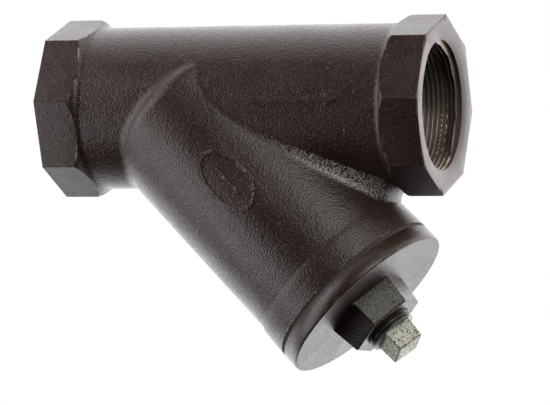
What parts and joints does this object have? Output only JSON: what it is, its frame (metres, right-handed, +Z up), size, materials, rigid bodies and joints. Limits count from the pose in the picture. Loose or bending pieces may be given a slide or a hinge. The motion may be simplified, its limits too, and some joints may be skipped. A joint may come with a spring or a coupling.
{
  "type": "y strainer",
  "caption": "Cast iron pipeline Y strainer with screwed octagonal ends, screwed cover, removable perforated screen and square-headed blow-down plug.",
  "frame": {"origin": "centre of the inlet face, on the pipe axis", "axes": "+X along the pipe axis in the direction of flow, +Z up, the screen branch leaves downwards towards +X in the XZ plane"},
  "size_m": [0.175, 0.0822, 0.1538],
  "materials": {
    "painted_iron": "satin black-brown paint over sand-cast iron, end faces and threads machined bare",
    "cover_iron": "satin black-brown paint over sand-cast iron",
    "gasket_fibre": "compressed fibre sheet, matt",
    "plug_iron": "bare malleable iron with a grainy skin",
    "seal_compound": "dark thread sealing compound",
    "screen_steel": "rolled stainless sheet",
    "mesh_steel": "woven stainless wire cloth"
  },
  "bodies": {
    "body": {"strainer_body": "painted_iron"},
    "screen_set": {"cover_gasket": "gasket_fibre", "screen_tube": "screen_steel", "screen_mesh_liner": "mesh_steel", "screen_upper_band": "screen_steel", "screen_lower_band": "screen_steel", "screen_seam_strip": "screen_steel"},
    "cover": {"screen_cover": "cover_iron"},
    "plug_seal": {"plug_thread_seal": "seal_compound"},
    "plug": {"blow_down_plug": "plug_iron"}
  },
  "joints": [
    {"name": "cover_travel", "type": "slide", "parent": "body", "child": "screen_set", "axis": [0.7071, 0, -0.7071], "range_m": [0, 0.1161]},
    {"name": "cover_turn", "type": "hinge", "parent": "screen_set", "child": "cover", "pos_m": [0.056, 0, 0], "axis": [0.7071, 0, -0.7071], "range_deg": [0, 20880]},
    {"name": "plug_travel", "type": "slide", "parent": "cover", "child": "plug_seal", "axis": [0.7071, 0, -0.7071], "range_m": [0, 0.0182]},
    {"name": "plug_turn", "type": "hinge", "parent": "plug_seal", "child": "plug", "pos_m": [0.056, 0, 0], "axis": [0.7071, 0, -0.7071], "range_deg": [0, 3600]}
  ],
  "couplings": [
    {"joint": "cover_travel", "follows": "cover_turn", "m_per_rad": 0.00031831},
    {"joint": "plug_travel", "follows": "plug_turn", "m_per_rad": 0.00028871}
  ]
}
